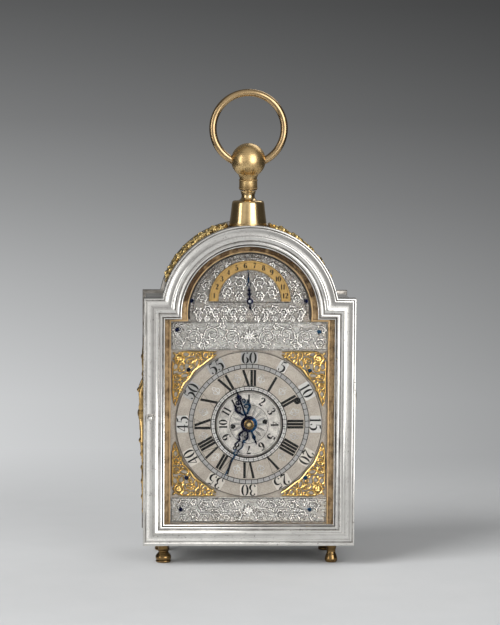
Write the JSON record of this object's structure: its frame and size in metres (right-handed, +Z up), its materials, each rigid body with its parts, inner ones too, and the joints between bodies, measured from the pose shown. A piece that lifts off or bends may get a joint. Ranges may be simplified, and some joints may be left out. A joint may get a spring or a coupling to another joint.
{
  "type": "travelling alarm clock",
  "caption": "Arched travelling alarm clock with glazed front door, pierced side mounts, turned feet, and a ring handle on a ball pendant.",
  "frame": {"origin": "on the surface the clock stands on, under the middle of the bounding box", "axes": "+Z up, the dial faces -Y, +X to the right of someone facing the dial"},
  "size_m": [0.11, 0.0692, 0.2388],
  "materials": {
    "silver": "polished with fine wear and tarnish in the grooves",
    "silvered_dial": "satin silvered and engraved",
    "gilt": "gilded, satin in the hollows and bright on the edges",
    "blued_steel": "heat blued",
    "steel": "polished",
    "brass": "polished",
    "bell_metal": "polished",
    "glass": "clear"
  },
  "bodies": {
    "case": {"case_shell": "silver", "base_plate": "silver", "foot_front_left": "gilt", "foot_front_right": "gilt", "foot_rear_left": "gilt", "foot_rear_right": "gilt", "side_fret_left": "gilt", "side_fret_right": "gilt", "arch_fret_left": "gilt", "arch_fret_right": "gilt", "pendant_socket": "gilt", "dial_mask": "gilt", "front_hinge_case_leaf": "silver", "front_hinge_pin": "steel", "rear_hinge_case_leaf": "silver", "rear_hinge_pin": "steel", "dial_plate": "silvered_dial", "arch_plate": "silvered_dial", "sector_scale": "gilt", "upper_band": "silvered_dial", "lower_band": "silvered_dial", "chapter_ring": "silvered_dial", "spandrel_upper_left": "gilt", "spandrel_upper_right": "gilt", "spandrel_lower_left": "gilt", "spandrel_lower_right": "gilt", "movement_front_plate": "brass", "movement_back_plate": "brass", "bell": "bell_metal", "escapement_platform": "brass", "balance_cock": "brass"},
    "front_door": {"front_door_frame": "silver", "front_door_glass": "glass", "glass_retainer": "silver", "front_door_knob": "silver", "front_hinge_door_leaf": "silver"},
    "rear_door": {"rear_door_frame": "silver", "rear_door_panel": "silver", "rear_door_knob": "silver", "rear_hinge_door_leaf": "silver"},
    "pendant": {"pendant_ball": "gilt"},
    "ring": {"ring_handle": "gilt"},
    "minute": {"minute_hand": "blued_steel", "hand_collet": "brass", "cannon_pinion": "steel", "centre_wheel": "brass"},
    "hour": {"hour_hand": "blued_steel", "hour_wheel": "brass"},
    "alarm_setting": {"alarm_disc": "silvered_dial"},
    "arch_pointer": {"arch_hand": "blued_steel"},
    "motion_wheel": {"minute_wheel": "brass"},
    "barrel": {"going_barrel": "brass"},
    "winding": {"winding_arbor": "steel"},
    "third": {"third_wheel": "brass"},
    "balance": {"balance_wheel": "brass"},
    "alarm_spring": {"alarm_barrel": "brass"},
    "hammer": {"alarm_hammer": "steel"}
  },
  "joints": [
    {"name": "front_door_hinge", "type": "hinge", "parent": "case", "child": "front_door", "pos_m": [0.0523, -0.02235, 0.0727], "axis": [0, 0, 1], "range_deg": [0, 110]},
    {"name": "rear_door_hinge", "type": "hinge", "parent": "case", "child": "rear_door", "pos_m": [0.0523, 0.02585, 0.0727], "axis": [0, 0, -1], "range_deg": [0, 110]},
    {"name": "pendant_swivel", "type": "hinge", "parent": "case", "child": "pendant", "pos_m": [0, 0, 0.1876], "axis": [0, 0, 1], "continuous": true},
    {"name": "ring_hinge", "type": "hinge", "parent": "pendant", "child": "ring", "pos_m": [0, 0, 0.20275], "axis": [1, 0, 0], "range_deg": [-140, 140]},
    {"name": "minute_arbor", "type": "hinge", "parent": "case", "child": "minute", "pos_m": [0, -0.0255, 0.0712], "axis": [0, 1, 0], "continuous": true},
    {"name": "hour_pipe", "type": "hinge", "parent": "case", "child": "hour", "pos_m": [0, -0.0246, 0.0712], "axis": [0, 1, 0], "continuous": true},
    {"name": "alarm_setting", "type": "hinge", "parent": "hour", "child": "alarm_setting", "pos_m": [0, -0.0235, 0.0712], "axis": [0, 1, 0], "continuous": true},
    {"name": "arch_pointer", "type": "hinge", "parent": "case", "child": "arch_pointer", "pos_m": [0, -0.0246, 0.133], "axis": [0, 1, 0], "range_deg": [-81, 88]},
    {"name": "minute_wheel_stud", "type": "hinge", "parent": "case", "child": "motion_wheel", "pos_m": [-0.01128, -0.015, 0.0671], "axis": [0, 1, 0], "continuous": true},
    {"name": "barrel_arbor", "type": "hinge", "parent": "case", "child": "barrel", "pos_m": [0.02418, -0.001, 0.08299], "axis": [0, 1, 0], "continuous": true},
    {"name": "winding_arbor", "type": "hinge", "parent": "case", "child": "winding", "pos_m": [0.02418, -0.001, 0.08299], "axis": [0, 1, 0], "continuous": true},
    {"name": "third_arbor", "type": "hinge", "parent": "case", "child": "third", "pos_m": [-0.01474, 0.002, 0.08152], "axis": [0, 1, 0], "continuous": true},
    {"name": "balance_staff", "type": "hinge", "parent": "case", "child": "balance", "pos_m": [0, 0.0018, 0.1235], "axis": [0, 0, 1], "range_deg": [-135, 135]},
    {"name": "alarm_barrel_arbor", "type": "hinge", "parent": "case", "child": "alarm_spring", "pos_m": [-0.023, 0.006, 0.0412], "axis": [0, 1, 0], "continuous": true},
    {"name": "hammer_arbor", "type": "hinge", "parent": "case", "child": "hammer", "pos_m": [0.03, 0.0175, 0.0652], "axis": [0, 1, 0], "range_deg": [-5, 12]}
  ],
  "couplings": [
    {"joint": "hour_pipe", "follows": "minute_arbor", "ratio": 0.083333},
    {"joint": "minute_wheel_stud", "follows": "minute_arbor", "ratio": -0.33333},
    {"joint": "barrel_arbor", "follows": "minute_arbor", "ratio": -0.125},
    {"joint": "third_arbor", "follows": "minute_arbor", "ratio": -8}
  ]
}
